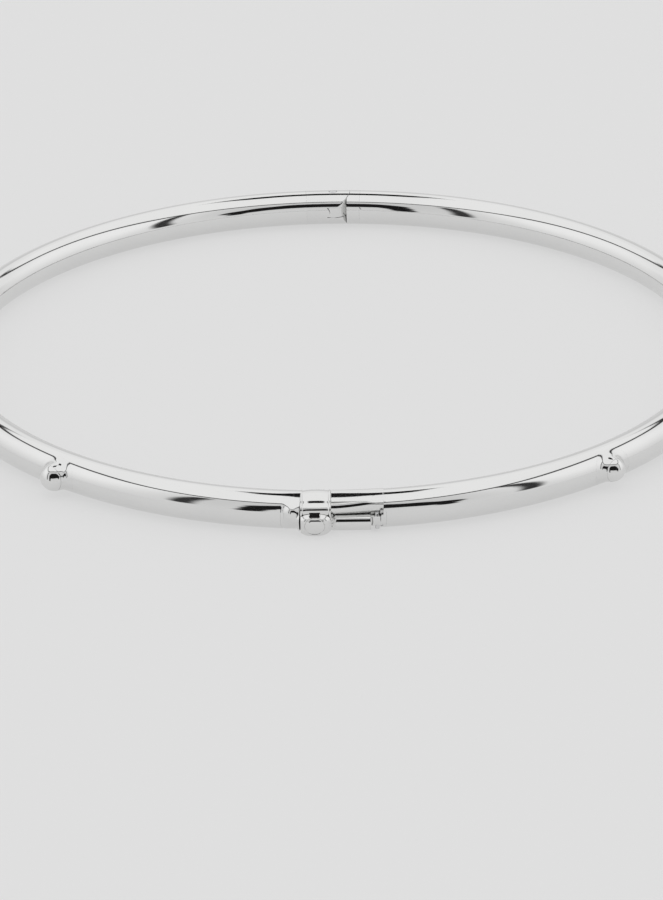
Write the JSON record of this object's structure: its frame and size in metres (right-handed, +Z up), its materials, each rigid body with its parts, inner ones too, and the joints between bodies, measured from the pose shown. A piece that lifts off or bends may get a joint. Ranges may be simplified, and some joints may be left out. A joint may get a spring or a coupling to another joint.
{
  "type": "hinged bangle bracelet",
  "caption": "Thin round-tube hinged bangle with side buds, a flush back hinge, and a front clasp of tongue, keeper collar and beaded swinging lever.",
  "frame": {"origin": "centre of the hoop, in the middle plane of its round tube, which is the centre of the wrist opening", "axes": "+Z is up, square to the hoop's plane; the clasp faces -Y and the hinge is at +Y; +X points along the hoop from the collar to the lever's hinge"},
  "size_m": [0.0664, 0.0675, 0.003],
  "materials": {
    "silver_tube": "mirror-polished silver, drawn tube",
    "silver_cast": "polished cast silver",
    "silver_bead": "high-polished silver bead",
    "steel_pin": "drawn steel wire, riveted and polished flush"
  },
  "bodies": {
    "left_half": {"left_tube": "silver_tube", "left_terminal": "silver_cast", "keeper_collar": "silver_cast", "left_bud_cup": "silver_cast", "left_bud_bead": "silver_bead", "left_hinge_block": "silver_cast", "hinge_pin": "steel_pin"},
    "right_half": {"right_tube": "silver_tube", "right_terminal": "silver_cast", "clasp_tongue": "silver_cast", "right_bud_cup": "silver_cast", "right_bud_bead": "silver_bead", "right_hinge_block": "silver_cast", "lever_pin": "steel_pin"},
    "clasp_lever": {"lever_arm": "silver_cast", "lever_cup": "silver_cast", "lever_bead": "silver_bead", "latch_tooth": "steel_pin"}
  },
  "joints": [
    {"name": "back_hinge", "type": "hinge", "parent": "left_half", "child": "right_half", "pos_m": [0, 0.03175, 0], "axis": [0, 0, 1], "range_deg": [0, 60]},
    {"name": "lever_swing", "type": "hinge", "parent": "right_half", "child": "clasp_lever", "pos_m": [0.00337, -0.03257, 0], "axis": [0, 0, 1], "range_deg": [0, 55]}
  ]
}
